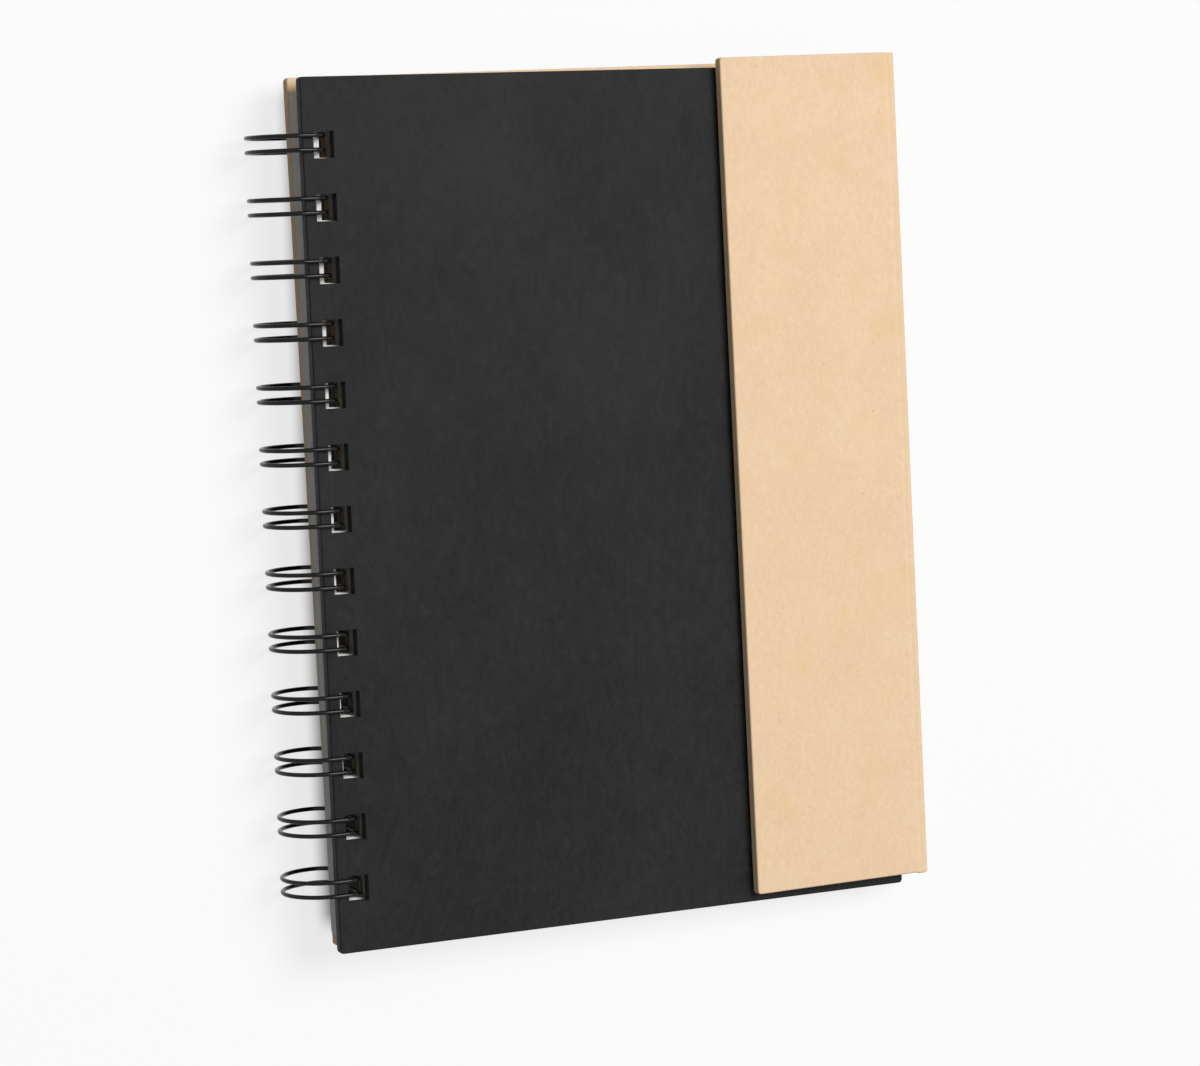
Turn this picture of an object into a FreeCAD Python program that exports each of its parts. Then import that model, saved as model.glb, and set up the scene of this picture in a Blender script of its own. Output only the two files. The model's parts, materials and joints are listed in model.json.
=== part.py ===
# Wire-bound notebook with a hard front cover, and a hard case of back cover, fore-edge panel and flap.
# It lies closed on its back: X runs from the wire binding to the fore edge, Y along the spine, Z up.
# The book is drawn level, with X = 0 at the front cover's spine edge, Y = 0 at its bottom edge
# and Z = 0 at the back cover's outer face. At the end it is tilted on to its resting points.
import FreeCAD, Part
import Sketcher
import math
import os

Vector = FreeCAD.Vector

SIZES = [
    ("cover_height", 179.4, "length of the covers along the spine"),
    ("case_width", 137.2, "outside of the fore-edge panel, from the front cover's spine edge"),
    ("front_room", 2.8, "front cover's fore edge, short of the inside of the fore-edge panel"),
    ("back_inset", 1.7, "back cover's spine edge, inside the front cover's at the lowest hole"),
    ("flap_reach", 42.3, "flap, from the outside of the fore-edge panel to its free edge"),
    ("board_thick", 2.0, "board inside every cover panel"),
    ("paper_thick", 0.2, "covering paper and lining paper"),
    ("turn_in", 15.0, "covering paper folded over on to the inside of a panel"),
    ("corner_round", 0.8, "corners of a covered panel, seen from the front"),
    ("edge_round", 0.35, "edges of a covered panel"),
    ("page_stack", 4.1, "thickness of the pages together"),
    ("page_recess", 0.6, "spine edge of the pages, inside the front cover's"),
    ("page_inset", 2.4, "fore edge of the pages, inside the front cover's"),
    ("page_margin", 3.0, "pages shorter than the covers, at each end"),
    ("page_round", 1.0, "corners of the pages"),
    ("wire_room", 1.1, "room for the wire's roots between the pages and the back cover"),
    ("hole_pitch", 12.7, "holes along the spine, two to the inch"),
    ("hole_count", "=floor(cover_height / hole_pitch) - 1", "punched holes that fit the spine"),
    ("hole_wide", 4.4, "a hole, across the spine"),
    ("hole_tall", 5.5, "a hole, along the spine"),
    ("hole_inset", 4.6, "hole centres from the front cover's spine edge"),
    ("back_hole_inset", 4.5, "hole centres from the back cover's spine edge"),
    ("page_hole_shift", 1.2, "the page holes lie this much further from the spine"),
    ("lowest_hole", 13.3, "lowest hole centre from the bottom of the front cover"),
    ("wire_thick", 0.9, "diameter of the binding wire"),
    ("strand_gap", 2.94, "the two strands of a loop, centre to centre"),
    ("ring_radius", 9.0, "centre line of a loop where it goes round the spine"),
    ("ring_rise", 0.75, "centre line of a loop above the front cover"),
    ("ring_offset", 4.6, "centre of a loop's round part from the strands in the holes"),
    ("strand_inset", 5.0, "strands in the holes, from the front cover's spine edge"),
    ("strand_shift", 0.45, "the loops sit this much above the hole centres"),
    ("mouth_bend", 2.5, "bend of a strand where it leaves the front cover's holes"),
    ("root_bend", 1.0, "bend of a strand between the pages and the back cover"),
    ("tip_depth", 1.0, "the loops' closed tips, below the inside of the back cover"),
    ("tail", 3.0, "wire left beyond the first and the last loop"),
    ("flap_room", 0.4, "flap above the front cover"),
    ("crease_room", 0.3, "between two panels at a crease"),
    ("case_shift", 0.2, "the back cover lies this much above the front cover along the spine"),
    ("flap_shift", 0.8, "the flap lies this much above the back cover along the spine"),
    ("case_skew", 0.6, "turn of the case against the front cover about the lowest hole, degrees"),
    ("magnet_wide", 10.0, "diameter of a magnet in the flap"),
    ("magnet_thick", 1.0, "thickness of a magnet"),
    ("plate_wide", 13.0, "diameter of a steel plate in the front cover"),
    ("plate_thick", 0.6, "thickness of a steel plate"),
    ("disc_room", 0.15, "round each magnet or plate in its pocket"),
    ("magnet_inset", 12.0, "magnets from the flap's free edge"),
    ("magnet_end", 38.0, "magnets from the ends of the flap"),
]

doc = FreeCAD.newDocument("notebook")
sheet = doc.addObject("Spreadsheet::Sheet", "sizes")
for row, (alias, value, note) in enumerate(SIZES, start=1):
    sheet.set("A%d" % row, alias)
    sheet.set("B%d" % row, str(value))
    sheet.set("C%d" % row, note)
    sheet.setAlias("B%d" % row, alias)
doc.recompute()


def size(alias):
    return float(sheet.get(alias))


def number(expression):
    return float(sheet.evalExpression(expression))


def plus(first, second):
    return "(%s + %s)" % (first, second)


def minus(first, second):
    return "(%s - %s)" % (first, second)


# Heights of the layers, from the back cover's outer face up, as expressions on the sheet
PANEL = "(sizes.board_thick + 2 * sizes.paper_thick)"
PAGES_LOW = plus(PANEL, "sizes.wire_room")
PAGES_HIGH = plus(PAGES_LOW, "sizes.page_stack")
FRONT_HIGH = plus(PAGES_HIGH, PANEL)
FLAP_LOW = plus(FRONT_HIGH, "sizes.flap_room")
FLAP_HIGH = plus(FLAP_LOW, PANEL)

# Places across the book
FRONT_HOLE = "sizes.hole_inset"
PAGE_HOLE = plus("sizes.hole_inset", "sizes.page_hole_shift")
BACK_HOLE = plus("sizes.back_inset", "sizes.back_hole_inset")
SIDE_INNER = minus("sizes.case_width", PANEL)
CREASE_END = minus(SIDE_INNER, "sizes.crease_room")
FLAP_FREE = minus("sizes.case_width", "sizes.flap_reach")
FRONT_EDGE = minus(SIDE_INNER, "sizes.front_room")
PAGE_EDGE = minus(FRONT_EDGE, "sizes.page_inset")
DISC_PLACE = plus(FLAP_FREE, "sizes.magnet_inset")

# Places along the spine: each span is its lower and its upper end
FRONT_SPAN = ("0", "sizes.cover_height")
PAGE_SPAN = ("sizes.page_margin", minus("sizes.cover_height", "sizes.page_margin"))
BACK_SPAN = ("sizes.case_shift", plus("sizes.case_shift", "sizes.cover_height"))
SIDE_SPAN = tuple(plus(end, "sizes.flap_shift / 2") for end in BACK_SPAN)
FLAP_SPAN = tuple(plus(end, "sizes.flap_shift") for end in BACK_SPAN)
DISC_PLACES = (plus(FLAP_SPAN[0], "sizes.magnet_end"), minus(FLAP_SPAN[1], "sizes.magnet_end"))


def block(name, spans):
    # A box between pairs of expressions, along X, Y and Z
    box = doc.addObject("Part::Box", name)
    for side, letter in (("Length", "x"), ("Width", "y"), ("Height", "z")):
        low, high = spans[letter]
        box.setExpression(side, minus(high, low))
        box.setExpression("Placement.Base." + letter, low)
    return box


def cut(name, base, tool):
    result = doc.addObject("Part::Cut", name)
    result.Base = base
    result.Tool = tool
    return result


def group(name, members):
    compound = doc.addObject("Part::Compound", name)
    compound.Links = members
    return compound


def sides_met(point, spans, axis):
    # The sides of a panel that a point lies on, such as xlow for its low end along X
    met = set()
    for letter, ends in spans.items():
        for side, end in zip(("low", "high"), ends):
            if letter != axis and abs(getattr(point, letter) - number(end)) < 0.01:
                met.add(letter + side)
    return met


def rounded(name, base, spans, axis, covered, corner, rim):
    # Rounds a panel's box where the paper is turned over: corner is the radius of the edges
    # through its thickness, and rim that of the edges round its two faces
    doc.recompute()
    edges = []
    for index, edge in enumerate(base.Shape.Edges, start=1):
        first, last = edge.Vertexes[0].Point, edge.Vertexes[-1].Point
        met = sides_met((first + last) / 2, spans, axis)
        through = abs(getattr(last - first, axis)) > 0.01
        radius = corner if through else rim
        if met and met <= covered and radius > 0:
            edges.append((index, radius, radius))
    if not edges:
        return group(name, [base])
    fillet = doc.addObject("Part::Fillet", name)
    fillet.Base = base
    fillet.Edges = edges
    return fillet


def panel(name, spans, axis, inside, covered, punch=None, pockets=None):
    # A covered panel: its board, the paper round it, and the lining on its inside. axis is the
    # letter of its thickness, and inside says which end of that the lining is on. covered has the
    # sides that the paper is turned over. At the others, the creases, everything ends flush.
    board_spans, lining_spans = {}, {}
    for letter, (low, high) in spans.items():
        under_low, under_high = plus(low, "sizes.paper_thick"), minus(high, "sizes.paper_thick")
        if letter == axis:
            board_spans[letter] = (under_low, under_high)
            lining_spans[letter] = (under_high, high) if inside == "high" else (low, under_low)
            continue
        low_covered, high_covered = letter + "low" in covered, letter + "high" in covered
        board_spans[letter] = (under_low if low_covered else low, under_high if high_covered else high)
        lining_spans[letter] = (plus(low, "sizes.turn_in") if low_covered else low,
                                minus(high, "sizes.turn_in") if high_covered else high)
    inner_corner = size("corner_round") - size("paper_thick")
    core = rounded(name + "_core", block(name + "_core_box", board_spans), board_spans, axis,
                   covered, inner_corner, 0)
    hull = rounded(name + "_hull", block(name + "_hull_box", spans), spans, axis,
                   covered, size("corner_round"), size("edge_round"))
    window = block(name + "_window", lining_spans)
    lining = rounded(name + "_lined", window, lining_spans, axis, covered, size("edge_round"), 0)
    paper = cut(name + "_shell", cut(name + "_skin", hull, core), lining)
    board = core
    if pockets:
        board = cut(name + "_pocketed", board, pockets)
    if punch:
        paper = cut(name + "_paper_punched", paper, punch)
        board = cut(name + "_board_punched", board, punch)
    return board, paper, lining


def punches(name, across):
    # One box for each punched hole, through the whole thickness of the book
    boxes = []
    for index in range(int(size("hole_count"))):
        middle = plus("sizes.lowest_hole", "%d * sizes.hole_pitch" % index)
        spans = {"x": (minus(across, "sizes.hole_wide / 2"), plus(across, "sizes.hole_wide / 2")),
                 "y": (minus(middle, "sizes.hole_tall / 2"), plus(middle, "sizes.hole_tall / 2")),
                 "z": ("(0 - %s)" % PANEL, plus(FLAP_HIGH, PANEL))}
        boxes.append(block("%s_%d" % (name, index), spans))
    return group(name, boxes)


def discs(name, width, thickness, low):
    # A pair of discs under the flap, one towards each end of the spine
    pair = []
    for index, along in enumerate(DISC_PLACES):
        disc = doc.addObject("Part::Cylinder", "%s_%d" % (name, index))
        disc.setExpression("Radius", "(%s) / 2" % width)
        disc.setExpression("Height", thickness)
        disc.setExpression("Placement.Base.x", DISC_PLACE)
        disc.setExpression("Placement.Base.y", along)
        disc.setExpression("Placement.Base.z", low)
        pair.append(disc)
    return group(name, pair)


def origin_plane(body, role):
    return next(item for item in body.Origin.OriginFeatures if item.Role == role)


def rectangle(sketch, across, along):
    # A rectangle between two pairs of expressions, each end held by its distance from the axes
    corners = [(0, 0), (10, 0), (10, 10), (0, 10)]
    for start, end in zip(corners, corners[1:] + corners[:1]):
        sketch.addGeometry(Part.LineSegment(Vector(*start, 0), Vector(*end, 0)))
    for line in range(4):
        sketch.addConstraint(Sketcher.Constraint("Coincident", line, 2, (line + 1) % 4, 1))
        sketch.addConstraint(Sketcher.Constraint("Horizontal" if line % 2 == 0 else "Vertical", line))
    held = (("DistanceX", 0, across[0]), ("DistanceX", 2, across[1]),
            ("DistanceY", 0, along[0]), ("DistanceY", 2, along[1]))
    for index, (kind, line, expression) in enumerate(held):
        place = sketch.addConstraint(Sketcher.Constraint(kind, -1, 1, line, 1, number(expression)))
        sketch.renameConstraint(place, "held%d" % index)
        sketch.setExpression("Constraints.held%d" % index, expression)


def page_block():
    # All the pages as one block, with rounded corners and a row of punched holes
    body = doc.addObject("PartDesign::Body", "page_block")
    outline = body.newObject("Sketcher::SketchObject", "page_outline")
    outline.AttachmentSupport = (origin_plane(body, "XY_Plane"), "")
    outline.MapMode = "FlatFace"
    rectangle(outline, ("sizes.page_recess", PAGE_EDGE), PAGE_SPAN)
    stack = body.newObject("PartDesign::Pad", "page_stack_pad")
    stack.Profile = outline
    stack.setExpression("Length", "sizes.page_stack")
    doc.recompute()
    corners = body.newObject("PartDesign::Fillet", "page_corners")
    upright = ["Edge%d" % index for index, edge in enumerate(stack.Shape.Edges, start=1)
               if abs(edge.Vertexes[0].Z - edge.Vertexes[-1].Z) > 0.01]
    corners.Base = (stack, upright)
    corners.setExpression("Radius", "sizes.page_round")
    hole = body.newObject("Sketcher::SketchObject", "page_hole_outline")
    hole.AttachmentSupport = (origin_plane(body, "XY_Plane"), "")
    hole.MapMode = "FlatFace"
    rectangle(hole, (minus(PAGE_HOLE, "sizes.hole_wide / 2"), plus(PAGE_HOLE, "sizes.hole_wide / 2")),
              (minus("sizes.lowest_hole", "sizes.hole_tall / 2"),
               plus("sizes.lowest_hole", "sizes.hole_tall / 2")))
    doc.recompute()
    whole = body.Shape.Volume
    punched = body.newObject("PartDesign::Pocket", "page_hole")
    punched.Profile = hole
    punched.Type = "ThroughAll"
    punched.Reversed = True
    doc.recompute()
    row = body.newObject("PartDesign::LinearPattern", "page_holes")
    row.Originals = [punched]
    row.Direction = (hole, ["V_Axis"])
    row.Occurrences = int(size("hole_count"))
    row.setExpression("Length", "(sizes.hole_count - 1) * sizes.hole_pitch")
    body.Tip = row
    doc.recompute()
    one_hole = size("hole_wide") * size("hole_tall") * size("page_stack")
    print("page holes cut", round((whole - body.Shape.Volume) / one_hole, 3), "of", int(size("hole_count")))
    return body


def arc(centre, radius, first_way, last_way):
    # A quarter or half turn about centre, from one unit direction to another
    middle_way = first_way + last_way
    if middle_way.Length < 0.01:
        raise ValueError("a half turn is made of two quarters")
    middle_way = middle_way.normalize()
    ends = [centre + way * radius for way in (first_way, middle_way, last_way)]
    return Part.Arc(*ends).toShape()


def line(first, last):
    return Part.LineSegment(first, last).toShape()


LEFT, RIGHT = Vector(-1, 0, 0), Vector(1, 0, 0)
DOWN, UP = Vector(0, 0, -1), Vector(0, 0, 1)
ALONG, BACK_ALONG = Vector(0, 1, 0), Vector(0, -1, 0)


def wire_levels():
    # Heights and places of the binding wire's centre line
    root = number(PANEL) + size("wire_room") / 2
    top = number(FRONT_HIGH) + size("ring_rise")
    tip = number(PANEL) - size("tip_depth") - size("wire_thick") / 2 - size("strand_gap") / 2
    return root, top, tip


def strand(along):
    # One strand of a loop at a place along the spine: up through the pages and the front cover,
    # over its edge, round the spine and up again into the back cover's hole
    root, top, tip = wire_levels()
    inset, round_radius = size("strand_inset"), size("ring_radius")
    mouth, bend, offset = size("mouth_bend"), size("root_bend"), size("ring_offset")
    middle = inset - offset
    low_turn = top - 2 * round_radius + offset
    return [
        line(Vector(inset, along, root + bend), Vector(inset, along, top - mouth)),
        arc(Vector(inset - mouth, along, top - mouth), mouth, RIGHT, UP),
        line(Vector(inset - mouth, along, top), Vector(middle, along, top)),
        arc(Vector(middle, along, top - round_radius), round_radius, UP, LEFT),
        arc(Vector(middle, along, top - round_radius), round_radius, LEFT, DOWN),
        arc(Vector(middle, along, low_turn), offset, DOWN, RIGHT),
        line(Vector(inset, along, low_turn), Vector(inset, along, tip)),
    ]


def wire_path():
    # The whole wire, loop by loop: two strands joined at the loop's closed tip, and a straight
    # root along the spine to the next loop
    root, top, tip = wire_levels()
    inset, bend, half = size("strand_inset"), size("root_bend"), size("strand_gap") / 2
    edges = []
    count = int(size("hole_count"))
    for index in range(count):
        middle = size("lowest_hole") + index * size("hole_pitch") + size("strand_shift")
        lower, upper = middle - half, middle + half
        came_from = lower - size("hole_pitch") + 2 * half + bend
        if index == 0:
            came_from = lower - bend - size("tail")
        edges.append(line(Vector(inset, came_from, root), Vector(inset, lower - bend, root)))
        edges.append(arc(Vector(inset, lower - bend, root + bend), bend, DOWN, ALONG))
        edges.extend(strand(lower))
        edges.append(arc(Vector(inset, middle, tip), half, BACK_ALONG, UP))
        edges.append(arc(Vector(inset, middle, tip), half, UP, ALONG))
        edges.extend(reversed(strand(upper)))
        edges.append(arc(Vector(inset, upper + bend, root + bend), bend, BACK_ALONG, DOWN))
    edges.append(line(Vector(inset, upper + bend, root), Vector(inset, upper + bend + size("tail"), root)))
    return edges


def wire_binding():
    edges = wire_path()
    path = Part.Wire(Part.__sortEdges__(edges))
    start = Vector(size("strand_inset"), size("lowest_hole") + size("strand_shift")
                   - size("strand_gap") / 2 - size("root_bend") - size("tail"), wire_levels()[0])
    radius = size("wire_thick") / 2
    section = Part.Wire([Part.makeCircle(radius, start, ALONG)])
    solid = path.makePipeShell([section], True, False)
    expected = math.pi * radius ** 2 * path.Length
    print("wire length", round(path.Length, 1), "volume over section times length",
          round(solid.Volume / expected, 5))
    feature = doc.addObject("Part::Feature", "wire_binding")
    feature.Shape = solid
    return feature


def tilt():
    # The book rests on the loops, which stand out below the back cover, and on the crease at the
    # fore edge. This is the turn about Y that brings the two to one level.
    drop = 2 * size("ring_radius") - size("ring_offset") - wire_levels()[1]
    loop_radius = size("ring_offset") + size("wire_thick") / 2
    reach = number(CREASE_END) - (size("strand_inset") - size("ring_offset"))
    return math.atan2(drop, reach) + math.asin(loop_radius / math.hypot(drop, reach))


front_punches = punches("front_punches", FRONT_HOLE)
back_punches = punches("back_punches", BACK_HOLE)
plate_low = minus(minus(FRONT_HIGH, "sizes.paper_thick"), "sizes.plate_thick")
magnet_low = plus(FLAP_LOW, "sizes.paper_thick")
cover_plates = discs("cover_plates", "sizes.plate_wide", "sizes.plate_thick", plate_low)
flap_magnets = discs("flap_magnets", "sizes.magnet_wide", "sizes.magnet_thick", magnet_low)
plate_pocket_wide = "sizes.plate_wide + 2 * sizes.disc_room"
plate_pockets = discs("plate_pockets", plate_pocket_wide, "sizes.plate_thick", plate_low)
magnet_pockets = discs("magnet_pockets", "sizes.magnet_wide + 2 * sizes.disc_room", "sizes.magnet_thick",
                       magnet_low)

FRONT_SPANS = {"x": ("0", FRONT_EDGE), "y": FRONT_SPAN, "z": (PAGES_HIGH, FRONT_HIGH)}
BACK_SPANS = {"x": ("sizes.back_inset", CREASE_END), "y": BACK_SPAN, "z": ("0", PANEL)}
SIDE_SPANS = {"x": (SIDE_INNER, "sizes.case_width"), "y": SIDE_SPAN,
              "z": (PANEL + " / 2", minus(FLAP_HIGH, PANEL + " / 2"))}
FLAP_SPANS = {"x": (FLAP_FREE, CREASE_END), "y": FLAP_SPAN, "z": (FLAP_LOW, FLAP_HIGH)}

front = panel("front", FRONT_SPANS, "z", "low", {"xlow", "xhigh", "ylow", "yhigh"},
              front_punches, plate_pockets)
back = panel("back", BACK_SPANS, "z", "high", {"xlow", "ylow", "yhigh"}, back_punches)
side = panel("fore_edge", SIDE_SPANS, "x", "low", {"ylow", "yhigh"})
flap = panel("flap", FLAP_SPANS, "z", "low", {"xlow", "ylow", "yhigh"}, None, magnet_pockets)
pages = page_block()
wire = wire_binding()

# Each piece is drawn level, and the object that is placed and written is a group round it, so
# that what the drawing cuts with it stays where it was drawn
BOOK_PARTS = {"wire_binding": wire,
              "page_block": pages,
              "cover_plates": group("plate_pair", [cover_plates])}
CASE_PARTS = {"flap_magnets": group("magnet_pair", [flap_magnets])}
for piece, label in zip(front, ("front_board", "front_cover_paper", "front_lining")):
    BOOK_PARTS[label] = group(label, [piece])
for drawn, name in ((back, "back"), (side, "fore_edge"), (flap, "flap")):
    paper_label = "back_cover_paper" if drawn is back else name + "_paper"
    for piece, label in zip(drawn, (name + "_board", paper_label, name + "_lining")):
        CASE_PARTS[label] = group(label, [piece])

doc.recompute()
tilted = FreeCAD.Placement(Vector(), FreeCAD.Rotation(ALONG, math.degrees(tilt())))
lift = FreeCAD.Placement(Vector(0, 0, number(PAGES_LOW)), FreeCAD.Rotation())
pivot = Vector(number(BACK_HOLE), size("lowest_hole"), 0)
skewed = FreeCAD.Placement(Vector(), FreeCAD.Rotation(UP, size("case_skew")), pivot)


def place_all(seat):
    # Sets each piece in the tilted book, then moves the whole to its seat
    for label, piece in BOOK_PARTS.items():
        own = lift if piece is pages else FreeCAD.Placement()
        piece.Placement = seat.multiply(tilted).multiply(own)
        piece.Label = label
    for label, piece in CASE_PARTS.items():
        piece.Placement = seat.multiply(tilted).multiply(skewed)
        piece.Label = label
    doc.recompute()


PARTS = {**BOOK_PARTS, **CASE_PARTS}
place_all(FreeCAD.Placement())
for item in doc.Objects:
    if "Invalid" in item.State or "Error" in item.State:
        raise RuntimeError("%s did not build: %s" % (item.Name, item.State))
for label, piece in PARTS.items():
    if piece.Shape.isNull() or not piece.Shape.isValid():
        raise RuntimeError("%s has no valid shape" % label)
box = FreeCAD.BoundBox()
for piece in PARTS.values():
    box.add(piece.Shape.optimalBoundingBox(False, False))
seat = FreeCAD.Placement(Vector(-box.Center.x, -box.Center.y, -box.ZMin), FreeCAD.Rotation())
place_all(seat)

os.makedirs("parts", exist_ok=True)
for label, piece in sorted(PARTS.items()):
    piece.Shape.exportStep("parts/%s.step" % label)
    print("%-20s solids %d volume %.1f" % (label, len(piece.Shape.Solids), piece.Shape.Volume))


def on_case(across, along, up):
    # A point of the case's drawing, where it lies in the finished notebook
    return seat.multiply(tilted).multiply(skewed).multVec(Vector(across, along, up))


crease_place = size("case_width") - number(PANEL) / 2
back_crease = on_case(crease_place, number(SIDE_SPAN[0]), number(PANEL) / 2)
flap_crease = on_case(crease_place, number(FLAP_SPAN[0]), number(FLAP_HIGH) - number(PANEL) / 2)
crease_way = tilted.multiply(skewed).Rotation.multVec(ALONG)
flap_middle = on_case((number(FLAP_FREE) + number(CREASE_END)) / 2,
                      (number(FLAP_SPAN[0]) + number(FLAP_SPAN[1])) / 2, number(FLAP_HIGH))
face_way = tilted.Rotation.multVec(UP)
print("tilt in degrees", round(math.degrees(tilt()), 4))
print("overall size", [round(side, 2) for side in (box.XLength, box.YLength, box.ZLength)])
for title, point in (("back crease", back_crease), ("flap crease", flap_crease),
                     ("crease direction", crease_way), ("flap face middle", flap_middle),
                     ("flap face direction", face_way)):
    print(title, [round(value, 5) for value in point])
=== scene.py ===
# %% [markdown]
# # A wire-bound notebook
# The notebook lies closed on its back: a black hard cover in front, a block of pages, a black
# twin-loop wire down the spine, and a kraft case whose flap folds round the fore edge. The packed
# model gives every board and sheet its place. This lesson adds the finishes, and models the pieces
# that a machine drawing leaves plain: the wire, the separate pages, and the paper over the creases.

# %% The frame
import json
import math
import random

import bpy
from mathutils import Matrix, Vector


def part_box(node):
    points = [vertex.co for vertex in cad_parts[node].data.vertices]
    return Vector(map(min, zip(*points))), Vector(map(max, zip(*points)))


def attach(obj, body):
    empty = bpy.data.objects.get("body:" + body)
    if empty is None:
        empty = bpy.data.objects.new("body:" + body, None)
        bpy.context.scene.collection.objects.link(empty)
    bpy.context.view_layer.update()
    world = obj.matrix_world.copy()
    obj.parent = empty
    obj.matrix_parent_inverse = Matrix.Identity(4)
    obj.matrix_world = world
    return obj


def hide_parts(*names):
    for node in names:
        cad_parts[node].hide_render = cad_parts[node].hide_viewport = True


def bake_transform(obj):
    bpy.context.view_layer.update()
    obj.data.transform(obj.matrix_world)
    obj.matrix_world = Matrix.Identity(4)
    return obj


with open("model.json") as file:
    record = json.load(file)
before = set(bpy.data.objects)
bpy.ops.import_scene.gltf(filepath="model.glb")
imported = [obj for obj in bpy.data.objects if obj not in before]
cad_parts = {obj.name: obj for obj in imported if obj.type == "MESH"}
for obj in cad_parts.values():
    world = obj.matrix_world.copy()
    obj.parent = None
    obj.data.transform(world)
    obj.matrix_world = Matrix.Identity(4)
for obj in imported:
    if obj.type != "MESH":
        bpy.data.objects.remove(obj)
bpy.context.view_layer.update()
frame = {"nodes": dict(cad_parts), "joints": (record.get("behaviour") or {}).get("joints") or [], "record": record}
MM = 0.001
random.seed(12)

# %% [markdown]
# The book rests on its wire loops and its fore edge, so it lies a few degrees out of level. It is
# easier to think in the book's own directions: across from the spine, along the spine, and up off
# the back cover. The flap's mount gives the way up, and the creases give the way along the case,
# which sits slightly askew on the book. A small function and a matrix turn such places into the frame's.

# %% The book's own directions
mount = frame["record"]["mounts"][0]
joints = {joint["name"]: joint for joint in frame["joints"]}
book_up = Vector(mount["axis"]).normalized()
book_along = Vector((0, 1, 0))
book_across = book_along.cross(book_up).normalized()
case_along = Vector(joints["back_crease"]["axis"]).normalized()
case_across = case_along.cross(book_up).normalized()

COVER_THICK = 2.4
FRONT_FACE = 10.0
cover_low, cover_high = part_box("front_cover_paper")
spine_under = Vector((cover_low.x, cover_low.y, 0))
book_zero = Vector((spine_under.x - (FRONT_FACE - COVER_THICK) * MM * book_up.x, cover_low.y,
                    cover_high.z - FRONT_FACE * MM * book_up.z))
COVER_TALL = (cover_high.y - cover_low.y) / MM


def book(across, along, up):
    """A place in the level book, in millimetres, as a place in the frame."""
    return book_zero + (book_across * across + book_along * along + book_up * up) * MM


X, Y, Z = Vector((1, 0, 0)), Vector((0, 1, 0)), Vector((0, 0, 1))
BOOK = Matrix((book_across, book_along, book_up)).transposed().to_4x4()
BOOK.translation = book_zero
print("cover", round(COVER_TALL, 2), "mm tall; tilt", round(math.degrees(math.asin(book_up.x)), 2))

# %% [markdown]
# The camera comes next, because everything after is judged through it. The photograph was taken
# with a long lens from the spine side and a little above the middle of the cover. The camera is
# placed in the book's own directions, aimed at a point of the front cover, and rolled slightly.

# %% The camera
CAMERA_PLACE = (-248.14, 148.71, 688.01)
CAMERA_AIM = (62.26, 82.56, 0.0)
CAMERA_ROLL = math.radians(-2.3338)
LENS = 107.88
SENSOR = 36.0
CLIP = (0.01, 20.0)


def aim_camera():
    place = book(CAMERA_PLACE[0], CAMERA_PLACE[1], CAMERA_PLACE[2] + FRONT_FACE)
    target = book(CAMERA_AIM[0], CAMERA_AIM[1], CAMERA_AIM[2] + FRONT_FACE)
    back = (place - target).normalized()
    right = book_along.cross(back).normalized()
    above = back.cross(right)
    turned_right = right * math.cos(CAMERA_ROLL) + above * math.sin(CAMERA_ROLL)
    turned_above = above * math.cos(CAMERA_ROLL) - right * math.sin(CAMERA_ROLL)
    matrix = Matrix((turned_right, turned_above, back)).transposed().to_4x4()
    matrix.translation = place
    bpy.ops.object.camera_add()
    camera = bpy.context.object
    camera.name = "photo_camera"
    camera.matrix_world = matrix
    camera.data.sensor_fit = "HORIZONTAL"
    camera.data.sensor_width = SENSOR
    camera.data.lens = LENS
    camera.data.clip_start, camera.data.clip_end = CLIP
    bpy.context.scene.camera = camera
    return camera


camera = aim_camera()
print("camera", [round(value, 3) for value in camera.location])

# %% [markdown]
# The notebook lies on a white table under soft light. The room is nearly even, with one large lamp
# over the top right, so that the spine side and the lower left fall into a soft shade. The camera
# and shiny surfaces see the room white, and what lights the book is a good deal dimmer than that.

# %% Light
ROOM_LIGHT = 0.2
LAMP_PLACE = (0.75, 0.7, 2.0)
LAMP_WIDTH = 1.2
LAMP_POWER = 45.0


def add_lamp():
    bpy.ops.object.light_add(type="AREA", location=LAMP_PLACE)
    lamp = bpy.context.object
    lamp.name = "window"
    lamp.data.shape = "DISK"
    lamp.data.size = LAMP_WIDTH
    lamp.data.energy = LAMP_POWER
    lamp.rotation_euler = Vector(LAMP_PLACE).to_track_quat("Z", "Y").to_euler()


def light_room():
    """An even pale room. The camera and mirror-like surfaces see it white."""
    world = bpy.data.worlds.new("white_room")
    bpy.context.scene.world = world
    world.use_nodes = True
    tree = world.node_tree
    seen = tree.nodes.new("ShaderNodeLightPath")
    white = seen.outputs["Is Camera Ray"]
    for ray in ("Is Glossy Ray", "Is Transmission Ray"):
        either = tree.nodes.new("ShaderNodeMath")
        either.operation = "MAXIMUM"
        tree.links.new(white, either.inputs[0])
        tree.links.new(seen.outputs[ray], either.inputs[1])
        white = either.outputs[0]
    brightness = tree.nodes.new("ShaderNodeMapRange")
    brightness.inputs["To Min"].default_value = ROOM_LIGHT
    brightness.inputs["To Max"].default_value = 1.0
    tree.links.new(white, brightness.inputs["Value"])
    tree.links.new(brightness.outputs["Result"], tree.nodes["Background"].inputs["Strength"])
    tree.nodes["Background"].inputs["Color"].default_value = (1, 1, 1, 1)


add_lamp()
light_room()
bpy.context.scene.view_settings.view_transform = "Standard"

# %% [markdown]
# Every finish here is a chain of maths on noise. Written node by node that is long and hard to
# read, so a small class wraps a socket and turns Python's operators into Math nodes. Its partner
# owns a material: one method adds any other node, from its type, its settings and its inputs.


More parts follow.
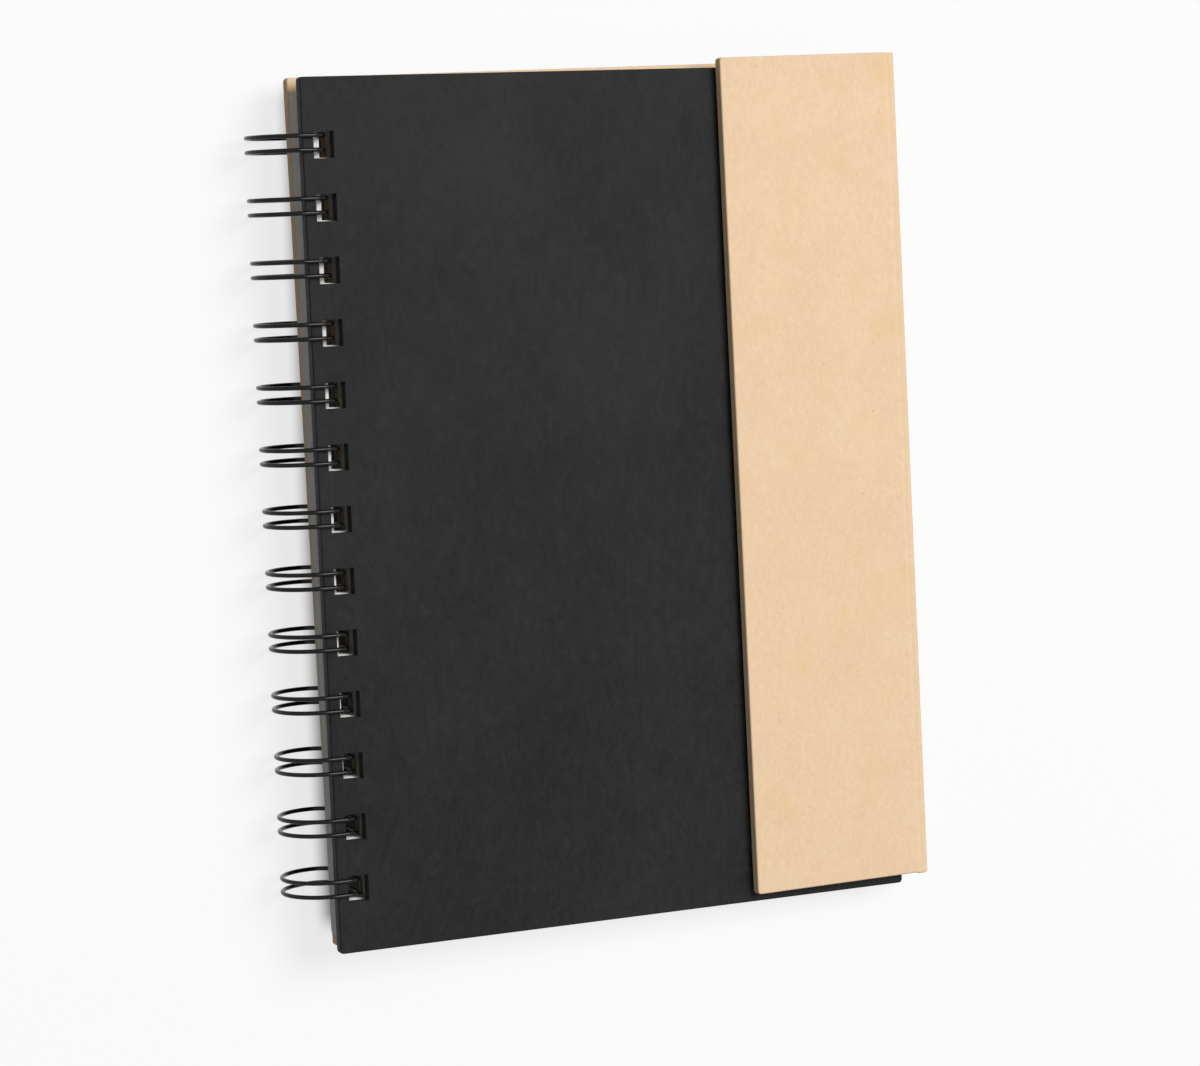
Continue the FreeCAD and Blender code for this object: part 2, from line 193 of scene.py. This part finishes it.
# %% Writing shaders as expressions
class Flow:
    """A number flowing through a material, which plain maths can be done on."""

    def __init__(self, finish, socket):
        self.finish = finish
        self.socket = socket

    def __add__(self, other):
        return self.finish.maths("ADD", self, other)

    def __radd__(self, other):
        return self.finish.maths("ADD", other, self)

    def __sub__(self, other):
        return self.finish.maths("SUBTRACT", self, other)

    def __rsub__(self, other):
        return self.finish.maths("SUBTRACT", other, self)

    def __mul__(self, other):
        return self.finish.maths("MULTIPLY", self, other)

    def ramp(self, low, high):
        """0 below low, 1 above high, smooth between."""
        settings = {"interpolation_type": "SMOOTHSTEP"}
        return self.finish.add("ShaderNodeMapRange", settings, self, low, high, 0.0, 1.0)[0]


class Finish:
    """A material and the nodes added to it."""

    def __init__(self, name):
        self.material = bpy.data.materials.new(name)
        self.material.use_nodes = True
        self.tree = self.material.node_tree
        self.shader = self.tree.nodes["Principled BSDF"]
        self.place = Flow(self, self.tree.nodes.new("ShaderNodeTexCoord").outputs["Object"])

    def put(self, socket, value):
        if isinstance(value, Flow):
            self.tree.links.new(value.socket, socket)
        elif isinstance(value, tuple) and len(value) == 3 and socket.type == "RGBA":
            socket.default_value = (*value, 1.0)
        else:
            socket.default_value = value

    def add(self, kind, settings, *values, **named):
        node = self.tree.nodes.new(kind)
        for key, value in settings.items():
            setattr(node, key, value)
        for socket, value in zip(node.inputs, values):
            self.put(socket, value)
        for key, value in named.items():
            self.put(node.inputs[key.replace("_", " ")], value)
        return [Flow(self, socket) for socket in node.outputs]

    def maths(self, operation, *values):
        return self.add("ShaderNodeMath", {"operation": operation}, *values)[0]

    def set(self, **named):
        for key, value in named.items():
            self.put(self.shader.inputs[key.replace("_", " ")], value)

    def turned(self, scale=(1, 1, 1), across=book_across, along=book_along):
        """Object coordinates in the book's directions: x across, y along the spine, z up."""
        up = across.cross(along)
        parts = [self.add("ShaderNodeVectorMath", {"operation": "DOT_PRODUCT"}, self.place,
                          tuple(way * size))[1] for way, size in zip((across, along, up), scale)]
        return self.add("ShaderNodeCombineXYZ", {}, *parts)[0]

    def noise(self, place, scale, detail=4.0, rough=0.5, warp=0.0):
        return self.add("ShaderNodeTexNoise", {}, Vector=place, Scale=scale, Detail=detail,
                        Roughness=rough, Distortion=warp)[0]

    def mix(self, factor, first, second):
        """first where factor is 0, second where it is 1. Both are colours, for which the Mix
        node has its inputs 6 and 7 and its output 2."""
        node = self.tree.nodes.new("ShaderNodeMix")
        node.data_type = "RGBA"
        for index, value in ((0, factor), (6, first), (7, second)):
            self.put(node.inputs[index], value)
        return Flow(self, node.outputs[2])

    def bump(self, height, depth, strength=1.0):
        return self.add("ShaderNodeBump", {}, Height=height, Distance=depth, Strength=strength)[0]


def linear(red, green, blue):
    """A colour as it is read from a screen, 0 to 255, as the linear values a shader takes."""
    values = [value / 255 for value in (red, green, blue)]
    return tuple(v / 12.92 if v <= 0.04045 else ((v + 0.055) / 1.055) ** 2.4 for v in values)


def dress(names, finish):
    """Gives carried-over pieces a finish."""
    for name in names:
        item = frame["nodes"][name]
        item.data.materials.clear()
        item.data.materials.append(finish.material)


# %% [markdown]
# Pieces are modelled as by hand: a primitive is added, opened in edit mode, and shaped by operators
# that act on what is selected. The helpers here deselect everything first, select by place, extrude
# and spin, and leave each finished piece with its object at the origin. Places that lie within a
# hundredth of a millimetre of each other count as the same place.

# %% Helpers for modelling by hand
NEAR = 0.01


def clear_selection():
    if bpy.context.object and bpy.context.object.mode == "EDIT":
        bpy.ops.object.mode_set(mode="OBJECT")
    bpy.ops.object.select_all(action="DESELECT")


def pick(piece):
    """Makes one piece the only one that is selected, and the active one."""
    clear_selection()
    bpy.context.view_layer.objects.active = piece
    piece.select_set(True)


def edit(piece):
    """Opens one piece alone in edit mode."""
    pick(piece)
    bpy.ops.object.mode_set(mode="EDIT")


def select_where(piece, kind, test):
    """Selects the piece's vertices or edges whose middle, in millimetres, passes a test."""
    bpy.ops.mesh.select_mode(type={"vertices": "VERT", "edges": "EDGE"}[kind])
    bpy.ops.mesh.select_all(action="DESELECT")
    bpy.ops.object.mode_set(mode="OBJECT")
    mesh = piece.data
    for item in getattr(mesh, kind):
        if kind == "vertices":
            middle = item.co
        else:
            corners = [mesh.vertices[index].co for index in item.vertices]
            middle = sum(corners, Vector()) / len(corners)
        item.select = bool(test(middle / MM))
    bpy.ops.object.mode_set(mode="EDIT")


def run(way):
    """Draws what is selected straight along a way, in millimetres."""
    bpy.ops.mesh.extrude_region_move(TRANSFORM_OT_translate={"value": tuple(Vector(way) * MM)})


def bend(centre, axis, degrees, steps):
    """Bends what is selected round a centre, in millimetres."""
    bpy.ops.mesh.spin(steps=steps, angle=-math.radians(degrees), center=tuple(Vector(centre) * MM),
                      axis=tuple(axis))


def settle(piece, matrix):
    """Places a piece that was drawn level, and leaves its object at the origin."""
    pick(piece)
    piece.matrix_world = matrix
    bpy.ops.object.transform_apply(location=True, rotation=True, scale=True)
    return piece


def moved(place):
    """The matrix that moves a piece by some millimetres."""
    return Matrix.Translation(Vector(place) * MM)


def copies(piece, matrices):
    """Copies a piece by each matrix, each copy with its own mesh, and joins them all."""
    made = []
    for matrix in matrices:
        copy = piece.copy()
        copy.data = piece.data.copy()
        bpy.context.collection.objects.link(copy)
        copy.matrix_world = matrix @ piece.matrix_world
        made.append(copy)
    pick(piece)
    for copy in made:
        copy.select_set(True)
    bpy.ops.object.join()
    return piece


def triangles(piece):
    return sum(len(face.vertices) - 2 for face in piece.data.polygons)


# %% [markdown]
# The table is white, but a white table would throw so much light back at the book's sides that they
# would lose their shade. Light Path tells the rays apart: what the camera and mirror-like surfaces
# see is near white with some glow of its own, and what lights the book is a darker grey. Beneath
# the book the table carries painted shade: there its colour is the darker grey for every ray, with
# no glow, so that the punched holes show that place dark.


# %% The table
TABLE_SIZE = 8.0
TABLE_SEEN = 0.88
TABLE_BOUNCE = 0.2
TABLE_GLOW = 0.78
PAINTED_SHADE_EDGE = 6.0


def white_table():
    finish = Finish("white_table")
    rays = finish.add("ShaderNodeLightPath", {})
    camera_ray, glossy_ray, transmission_ray = rays[0], rays[3], rays[6]
    direct = finish.maths("MAXIMUM", camera_ray, glossy_ray)
    direct = finish.maths("MAXIMUM", direct, transmission_ray)
    grey = (TABLE_BOUNCE,) * 3
    x, y, _ = finish.add("ShaderNodeSeparateXYZ", {}, finish.place)
    low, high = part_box("back_cover_paper")
    edge = PAINTED_SHADE_EDGE * MM
    # Painted shade: this mask is 1 under the book's back cover, where the table gets the darker grey and no glow.
    painted_shade_beneath = (x - low.x).ramp(0.0, edge) * (high.x - x).ramp(0.0, edge)
    painted_shade_beneath = painted_shade_beneath * (y - low.y).ramp(0.0, edge) * (high.y - y).ramp(0.0, edge)
    # pale is 0 in the painted shade, so there the table is grey and does not glow.
    pale = direct * (1 - painted_shade_beneath)
    finish.set(Base_Color=finish.mix(pale, grey, (TABLE_SEEN,) * 3), Roughness=0.9,
               Specular_IOR_Level=0.0)
    glow = finish.add("ShaderNodeEmission", {}, (1.0, 1.0, 1.0), 1.0)[0]
    shaded = Flow(finish, finish.shader.outputs[0])
    mixed = finish.add("ShaderNodeMixShader", {}, pale * TABLE_GLOW, shaded, glow)[0]
    finish.put(finish.tree.nodes["Material Output"].inputs["Surface"], mixed)
    clear_selection()
    bpy.ops.mesh.primitive_plane_add(size=TABLE_SIZE)
    table = bpy.context.object
    table.name = "table"
    table.data.materials.append(finish.material)


white_table()

# %% [markdown]
# The front cover is wrapped in black paper with a fine worn grain. From a step away it reads as
# matt charcoal, broken by small wavy flecks a millimetre or two long and by faint clouds. Warped
# noise pulled out along the spine gives the flecks their tone and, through a Bump node, their light.
# Where two of the noises are high together there is a paler mark.


# %% The black cover paper
def black_cover_paper():
    finish = Finish("black_cover_paper")
    flecks = finish.noise(finish.turned((1.0, 0.6, 1.0)), 520.0, 5.0, 0.62, 1.6)
    wrinkles = finish.noise(finish.turned((1.0, 0.5, 1.0)), 230.0, 3.0, 0.5, 2.5)
    clouds = finish.noise(finish.turned(), 38.0, 3.0)
    grain = finish.noise(finish.turned(), 2600.0, 4.0, 0.6)
    marks = flecks.ramp(0.56, 0.66) * wrinkles.ramp(0.48, 0.58)
    tone = ((flecks - 0.5) * 1.5 + (wrinkles - 0.5) * 1.0 + (clouds - 0.5) * 1.1
            + (grain - 0.5) * 0.5 + marks * 0.3 + 0.47)
    height = flecks * 0.9 + wrinkles * 0.8 + grain * 0.35
    finish.set(Base_Color=finish.mix(tone, linear(16, 16, 17), linear(39, 39, 39)),
               Roughness=0.56 + (flecks - 0.5) * 0.3 + (grain - 0.5) * 0.2, Specular_IOR_Level=0.12,
               Normal=finish.bump(height, 0.00008, 0.7))
    return finish


dress(["front_cover_paper"], black_cover_paper())

# %% [markdown]
# Kraft paper is unbleached pulp: a warm tan ground, short fibres that lie mostly along the spine,
# faint yellowish patches, and a few specks of bark. The fibres are two noises pulled out a little,
# the patches are what a broad noise leaves above a threshold, and the specks are the few cells of a
# Voronoi pattern that fall under one.

# %% The kraft paper
KRAFT_DARK = linear(226, 190, 149)
KRAFT_LIGHT = linear(246, 219, 186)
KRAFT_PATCH = linear(231, 199, 146)
KRAFT_SPECK = linear(186, 146, 106)


def kraft_paper():
    finish = Finish("kraft_paper")
    place = finish.turned((1.0, 0.6, 1.0), case_across, case_along)
    fibres = finish.noise(place, 1500.0, 6.0, 0.65, 0.8)
    threads = finish.noise(place, 420.0, 4.0, 0.55, 1.8)
    clouds = finish.noise(finish.turned(), 60.0, 4.0, 0.6)
    patches = finish.noise(finish.turned(), 110.0, 2.0).ramp(0.56, 0.72)
    long = finish.turned((1.0, 0.5, 1.0))
    cells = finish.add("ShaderNodeTexVoronoi", {"feature": "F1"}, Vector=long, Scale=520.0)
    scarce = finish.noise(finish.turned(), 190.0, 2.0).ramp(0.57, 0.63)
    specks = (1 - cells[0].ramp(0.04, 0.15)) * scarce
    tone = (fibres - 0.5) * 1.0 + (threads - 0.5) * 0.5 + (clouds - 0.5) * 0.5 + 0.5
    ground = finish.mix(tone, KRAFT_DARK, KRAFT_LIGHT)
    patched = finish.mix(patches * 0.4, ground, KRAFT_PATCH)
    finish.set(Base_Color=finish.mix(specks * 0.4, patched, KRAFT_SPECK),
               Roughness=0.72 + (fibres - 0.5) * 0.2, Specular_IOR_Level=0.2,
               Normal=finish.bump(fibres * 0.7 + threads * 0.6, 0.00005, 0.5))
    return finish


kraft = kraft_paper()
dress(["back_cover_paper", "fore_edge_paper", "flap_paper"], kraft)

# %% [markdown]
# Under the papers there are boards. The front cover's board is given a dark grey pulp, and that dark
# colour is painted shade: it makes the walls of its holes as dark as deep shade. The case has plain
# greyboard: grey pulp with darker flecks. The linings are an off-white paper. The closing magnets and
# their plates are hidden between the layers, and get a scratched metal, for anyone who takes the
# model apart.


# %% Linings, boards and the hidden metal
def lining_paper():
    finish = Finish("lining_paper")
    fibres = finish.noise(finish.turned((1.0, 0.3, 1.0)), 700.0, 5.0, 0.6)
    colour = finish.mix(fibres, linear(214, 206, 190), linear(228, 222, 210))
    finish.set(Base_Color=colour, Roughness=0.8, Specular_IOR_Level=0.2,
               Normal=finish.bump(fibres, 0.00004, 0.4))
    return finish


def pressed_board(name, dark, light, fleck):
    finish = Finish(name)
    pulp = finish.noise(finish.turned((1.0, 1.0, 2.5)), 900.0, 6.0, 0.7)
    flecks = finish.noise(finish.turned(), 2200.0, 3.0).ramp(0.58, 0.7)
    ground = finish.mix(pulp, dark, light)
    colour = finish.mix(flecks * 0.4, ground, fleck)
    finish.set(Base_Color=colour, Roughness=0.95, Specular_IOR_Level=0.1,
               Normal=finish.bump(pulp, 0.00012, 0.7))
    return finish


def disc_metal(name, tone):
    finish = Finish(name)
    scratches = finish.noise(finish.turned((1.0, 6.0, 1.0)), 1500.0, 4.0)
    finish.set(Base_Color=tone, Metallic=1.0, Roughness=0.25 + scratches * 0.25)
    return finish


lining = lining_paper()
dress(["front_lining", "back_lining", "fore_edge_lining", "flap_lining"], lining)
# Painted shade: the front board is made dark grey so that the walls of its holes render as dark as deep shade.
black_board = pressed_board("black_board", linear(52, 52, 53), linear(80, 80, 80), linear(96, 96, 96))
greyboard = pressed_board("greyboard", linear(138, 135, 130), linear(178, 174, 168), linear(98, 94, 90))
dress(["front_board"], black_board)
dress(["back_board", "fore_edge_board", "flap_board"], greyboard)
dress(["cover_plates"], disc_metal("plate_steel", linear(170, 170, 172)))
dress(["flap_magnets"], disc_metal("magnet_plating", linear(196, 196, 200)))

# %% [markdown]
# The binding is one long black wire, bent into a pair of strands at every hole. A wire former bends
# it step by step, and so does this cell: a small circle is the wire's cut end, extrude draws a
# straight run from it, and spin bends it round a centre. One loop is bent, and the rest are copies.

# %% Sizes of the wire
WIRE_THICK = 0.9
HOLES = 13
PITCH = 12.7
LOWEST_LOOP = 13.75
STRAND_GAP = 2.94
STRAND_ACROSS = 5.0
ROOT_UP = 2.95
TOP_UP = 10.75
RING_RADIUS = 9.0
RING_OFFSET = 4.6
MOUTH_BEND = 2.5
ROOT_BEND = 1.0
TIP_UP = -0.52
BETWEEN_LOOPS = PITCH - STRAND_GAP - 2 * ROOT_BEND
TAIL = 3.0
WIRE_SIDES = 16
ROOT_STEPS = 5
MOUTH_STEPS = 6
RING_STEPS = 26
LOW_STEPS = 10
TIP_STEPS = 12
WIRE_SMOOTH = 40


# %% One loop, then the row
def hole_row():
    """The moves from the lowest hole to each of the others."""
    return [moved((0, PITCH * index, 0)) for index in range(1, HOLES)]


def bend_loop():
    """From the lower root bend, through both strands, to the next loop's root."""
    half = STRAND_GAP / 2
    lower, upper = LOWEST_LOOP - half, LOWEST_LOOP + half
    root_turn = ROOT_UP + ROOT_BEND
    mouth_across, mouth_turn = STRAND_ACROSS - MOUTH_BEND, TOP_UP - MOUTH_BEND
    ring_across, ring_turn = STRAND_ACROSS - RING_OFFSET, TOP_UP - RING_RADIUS
    low_turn = TOP_UP - 2 * RING_RADIUS + RING_OFFSET
    start = Vector((STRAND_ACROSS, lower - ROOT_BEND, ROOT_UP))
    clear_selection()
    bpy.ops.mesh.primitive_circle_add(vertices=WIRE_SIDES, radius=WIRE_THICK / 2 * MM,
                                      location=start * MM, rotation=(math.radians(90), 0, 0))
    loop = bpy.context.object
    bpy.ops.object.transform_apply(location=True, rotation=True, scale=True)
    edit(loop)
    bpy.ops.mesh.select_all(action="SELECT")
    bend((STRAND_ACROSS, lower - ROOT_BEND, root_turn), X, 90, ROOT_STEPS)
    run(Z * (mouth_turn - root_turn))
    bend((mouth_across, lower, mouth_turn), Y, -90, MOUTH_STEPS)
    run(-X * (mouth_across - ring_across))
    bend((ring_across, lower, ring_turn), Y, -180, RING_STEPS)
    bend((ring_across, lower, low_turn), Y, -90, LOW_STEPS)
    run(Z * (TIP_UP - low_turn))
    bend((STRAND_ACROSS, LOWEST_LOOP, TIP_UP), X, -180, TIP_STEPS)
    run(-Z * (TIP_UP - low_turn))
    bend((ring_across, upper, low_turn), Y, 90, LOW_STEPS)
    bend((ring_across, upper, ring_turn), Y, 180, RING_STEPS)
    run(X * (mouth_across - ring_across))
    bend((mouth_across, upper, mouth_turn), Y, 90, MOUTH_STEPS)
    run(-Z * (mouth_turn - root_turn))
    bend((STRAND_ACROSS, upper + ROOT_BEND, root_turn), X, 90, ROOT_STEPS)
    run(Y * BETWEEN_LOOPS)
    bpy.ops.object.mode_set(mode="OBJECT")
    return loop


def wire_row():
    wire = copies(bend_loop(), hole_row())
    wire.name = "binding_wire"
    edit(wire)
    bpy.ops.mesh.select_all(action="SELECT")
    bpy.ops.mesh.remove_doubles(threshold=NEAR * MM)
    places = [vertex.co.y / MM for vertex in wire.data.vertices]
    first, last = min(places), max(places)
    select_where(wire, "vertices", lambda place: place.y > last - NEAR)
    bpy.ops.transform.translate(value=(0, (TAIL - BETWEEN_LOOPS) * MM, 0))
    bpy.ops.mesh.edge_face_add()
    select_where(wire, "vertices", lambda place: place.y < first + NEAR)
    run(-Y * TAIL)
    bpy.ops.mesh.edge_face_add()
    bpy.ops.mesh.select_all(action="SELECT")
    bpy.ops.mesh.normals_make_consistent(inside=False)
    bpy.ops.object.mode_set(mode="OBJECT")
    bpy.ops.object.shade_smooth_by_angle(angle=math.radians(WIRE_SMOOTH))
    return settle(wire, BOOK)


wire = wire_row()
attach(wire, "book")
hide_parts("wire_binding")
print("wire", triangles(wire), "triangles")

# %% [markdown]
# The wire is coated with black nylon. It is near black and quite glossy, so that each loop shows a
# narrow grey streak where it turns past the window. Slight unevenness in the coat breaks the streak.


# %% The wire's coating
def wire_coating():
    finish = Finish("black_wire")
    waves = finish.noise(finish.turned(), 350.0, 2.0)
    grain = finish.noise(finish.turned(), 4000.0, 3.0)
    finish.set(Base_Color=finish.mix(waves, linear(5, 5, 6), linear(12, 12, 13)),
               Roughness=0.18 + (waves - 0.5) * 0.1 + (grain - 0.5) * 0.08,
               Specular_IOR_Level=0.21, Normal=finish.bump(waves + grain * 0.3, 0.00003, 0.4))
    return finish


wire.data.materials.append(wire_coating().material)

# %% [markdown]
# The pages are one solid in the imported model. On the real book the spine side shows fine lines,
# because the sheets never lie quite flush. One sheet is cut as a thin box with rounded corners, its
# holes are punched with a Boolean, and it is copied up the stack. Loose sheets lean on the wire, so
# from the lowest to the top each lies a little further turned and shifted, in degrees and in
# millimetres, and no two of them quite alike.

# %% The pages
PAGE_LOW = 3.5
PAGE_STACK = 4.1
SHEETS = 46
PAGE_ACROSS = (0.6, 129.6)
PAGE_ALONG = (3.0, 176.4)
PAGE_ROUND = 1.0
PAGE_ROUND_STEPS = 4
HOLE_SIZE = (4.4, 5.5)
PAGE_HOLE_ACROSS = 5.8
LOWEST_HOLE = 13.3
PIN_REACH = 1.0
SHEET_ROOM = PAGE_STACK / SHEETS
SHEET_THICK = SHEET_ROOM * 0.93
LOW_LIE = (0.22, -0.4)
TOP_LIE = (-0.45, 0.15)
TURN_SPREAD = 0.015
SHIFT_SPREAD = 0.035
SLIDE_SPREAD = 0.05


def box(low, high):
    """A box between two corners, in millimetres of the level book."""
    low, high = Vector(low), Vector(high)
    clear_selection()
    bpy.ops.mesh.primitive_cube_add(size=1.0, location=(low + high) / 2 * MM)
    made = bpy.context.object
    made.scale = (high - low) * MM
    bpy.ops.object.transform_apply(location=True, rotation=True, scale=True)
    return made


def sheet_blank():
    sheet = box((PAGE_ACROSS[0], PAGE_ALONG[0], PAGE_LOW),
                (PAGE_ACROSS[1], PAGE_ALONG[1], PAGE_LOW + SHEET_THICK))
    edit(sheet)
    half_up = PAGE_LOW + SHEET_THICK / 2
    select_where(sheet, "edges", lambda place: abs(place.z - half_up) < NEAR)
    bpy.ops.mesh.bevel(offset=PAGE_ROUND * MM, segments=PAGE_ROUND_STEPS)
    bpy.ops.object.mode_set(mode="OBJECT")
    return sheet


def punch(sheet):
    half_across, half_along = HOLE_SIZE[0] / 2, HOLE_SIZE[1] / 2
    pin = box((PAGE_HOLE_ACROSS - half_across, LOWEST_HOLE - half_along, PAGE_LOW - PIN_REACH),
              (PAGE_HOLE_ACROSS + half_across, LOWEST_HOLE + half_along, PAGE_LOW + PIN_REACH))
    pins = copies(pin, hole_row())
    pick(sheet)
    modifier = sheet.modifiers.new("punch", "BOOLEAN")
    modifier.object = pins
    modifier.solver = "EXACT"
    bpy.ops.object.modifier_apply(modifier="punch")
    bpy.data.objects.remove(pins)


def lie_of(index):
    """Where a sheet has settled: the stack leans from its lowest sheet to its top one."""
    share = index / (SHEETS - 1)
    turn = LOW_LIE[0] + (TOP_LIE[0] - LOW_LIE[0]) * share + random.gauss(0, TURN_SPREAD)
    shift = LOW_LIE[1] + (TOP_LIE[1] - LOW_LIE[1]) * share + random.gauss(0, SHIFT_SPREAD)
    pivot = (PAGE_ACROSS[0], sum(PAGE_ALONG) / 2, 0)
    place = (shift, random.gauss(0, SLIDE_SPREAD), SHEET_ROOM * index)
    turned = Matrix.Rotation(math.radians(turn), 4, "Z")
    return moved(place) @ moved(pivot) @ turned @ moved(pivot).inverted()


def page_stack():
    sheet = sheet_blank()
    punch(sheet)
    print("one sheet", triangles(sheet), "triangles")
    first = lie_of(0)
    settle(sheet, first)
    pages = copies(sheet, [lie_of(index) @ first.inverted() for index in range(1, SHEETS)])
    pages.name = "pages"
    return settle(pages, BOOK)


pages = page_stack()
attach(pages, "book")
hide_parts("page_block")
print("pages", triangles(pages), "triangles")

# %% [markdown]
# The paper is uncoated and slightly warm. Its fibres are hardly seen, but at the edges of the stack
# each sheet takes the light a little differently, and this is painted: one noise that changes only
# from sheet to sheet makes each sheet a little lighter or darker.


# %% The page paper
def page_paper():
    finish = Finish("page_paper")
    fibres = finish.noise(finish.turned(), 900.0, 4.0, 0.6)
    # Painted light: this noise makes each sheet a little lighter or darker, changing only from sheet to sheet.
    layers = finish.noise(finish.turned((0.02, 0.02, 1.0)), 9000.0, 2.0)
    tone = fibres * 0.5 + layers * 0.5
    finish.set(Base_Color=finish.mix(tone, linear(226, 224, 218), linear(244, 243, 239)),
               Roughness=0.85, Specular_IOR_Level=0.2, Normal=finish.bump(fibres, 0.00002, 0.3))
    return finish


pages.data.materials.append(page_paper().material)

# %% [markdown]
# At both creases the boards stop short, and only paper runs on round the corner: kraft outside,
# lining inside. Each strip starts as a plane along the crease, spin carries its edge round the
# corner, and Solidify gives it the paper's thickness. A shallow valley runs along the crease.

# %% Sizes and helpers for the creases
CREASES = (("flap_crease", 1), ("back_crease", -1))
CREASE_LONG = 179.3
PANEL_HALF = 1.2
CREASE_FLAT = 1.5
CREASE_GAP = 0.3
VALLEY = 0.12
VALLEY_ROWS = ((0.25, 0.5), (0.5, 1.0), (0.75, 0.5))
CREASE_WORN = 0.1
CREASE_STEPS = 10
CREASE_SMOOTH = 50
TUCK_CUTS = 4
TUCK_SHORT = 0.1
PAPER_THICK = 0.2
LINING_THICK = 0.08


def crease_matrix(name, facing):
    """Axes at the middle of a crease: x away from the book, z to the outside of its cover panel."""
    joint = joints[name]
    middle = Vector(joint["pos_m"]) + case_along * (CREASE_LONG / 2 * MM)
    matrix = Matrix((case_across, case_along * facing, book_up * facing)).transposed().to_4x4()
    matrix.translation = middle
    return matrix


def follow(paper, crease, facing):
    """Bakes the paper's placement into its mesh."""
    matrix = crease_matrix(crease, facing)
    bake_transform(paper)


def strip(across, up):
    """A plane along the crease, between two places across it, at a height, in edit mode."""
    clear_selection()
    middle = Vector(((across[0] + across[1]) / 2, 0, up)) * MM
    bpy.ops.mesh.primitive_plane_add(size=1.0, location=middle)
    made = bpy.context.object
    made.scale = ((across[1] - across[0]) * MM, CREASE_LONG * MM, 1.0)
    bpy.ops.object.transform_apply(location=True, rotation=True, scale=True)
    edit(made)
    return made


def finish_paper(paper, name, thickness, offset):
    """Gives a sheet its thickness, away from its outer side."""
    bpy.ops.mesh.select_all(action="SELECT")
    bpy.ops.mesh.remove_doubles(threshold=NEAR * MM)
    bpy.ops.mesh.normals_make_consistent(inside=False)
    bpy.ops.object.mode_set(mode="OBJECT")
    modifier = paper.modifiers.new("paper", "SOLIDIFY")
    modifier.thickness = thickness * MM
    modifier.offset = offset
    modifier.use_even_offset = True
    bpy.ops.object.modifier_apply(modifier="paper")
    bpy.ops.object.shade_smooth_by_angle(angle=math.radians(CREASE_SMOOTH))
    paper.name = name


# %% The outer paper
def outer_paper(name, crease, facing):
    paper = strip((-CREASE_FLAT, 0.0), PANEL_HALF)
    bpy.ops.mesh.select_all(action="SELECT")
    bpy.ops.mesh.subdivide(number_cuts=len(VALLEY_ROWS))
    for share, deep in VALLEY_ROWS:
        row = -CREASE_FLAT * share
        depth = VALLEY * deep + CREASE_WORN * (1 - share)
        select_where(paper, "vertices", lambda place: abs(place.x - row) < NEAR)
        bpy.ops.transform.translate(value=(0, 0, -depth * MM))
    select_where(paper, "vertices", lambda place: abs(place.x) < NEAR)
    bend((0, 0, 0), Y, 90, CREASE_STEPS)
    select_where(paper, "vertices", lambda place: place.x > -NEAR)
    flatter = (1.0, 1.0, 1 - CREASE_WORN / PANEL_HALF)
    bpy.ops.transform.resize(value=flatter, center_override=(0.0, 0.0, 0.0))
    finish_paper(paper, name, PAPER_THICK, -1.0)
    settle(paper, crease_matrix(crease, facing))
    follow(paper, crease, facing)
    paper.data.materials.append(kraft.material)
    return paper


for crease, facing in CREASES:
    paper = outer_paper(crease + "_paper", crease, facing)
    print(paper.name, triangles(paper), "triangles")


# %% [markdown]
# Inside the corner the lining can't go round the outside, so it is tucked into the narrow gap
# between the two panels. The same plane is extruded up through that gap and out to the other panel.


# %% The inner lining
def inner_lining(name, crease, facing):
    middle = -CREASE_FLAT + CREASE_GAP / 2
    paper = strip((-CREASE_FLAT, middle), -PANEL_HALF)
    select_where(paper, "vertices", lambda place: place.x > middle - NEAR)
    for _ in range(TUCK_CUTS):
        run(Z * (PANEL_HALF - TUCK_SHORT) / TUCK_CUTS)
    run((CREASE_GAP / 2, 0, TUCK_SHORT))
    finish_paper(paper, name, LINING_THICK, 0.0)
    settle(paper, crease_matrix(crease, facing))
    follow(paper, crease, facing)
    paper.data.materials.append(lining.material)
    return paper


for crease, facing in CREASES:
    paper = inner_lining(crease + "_lining", crease, facing)
    print(paper.name, triangles(paper), "triangles")
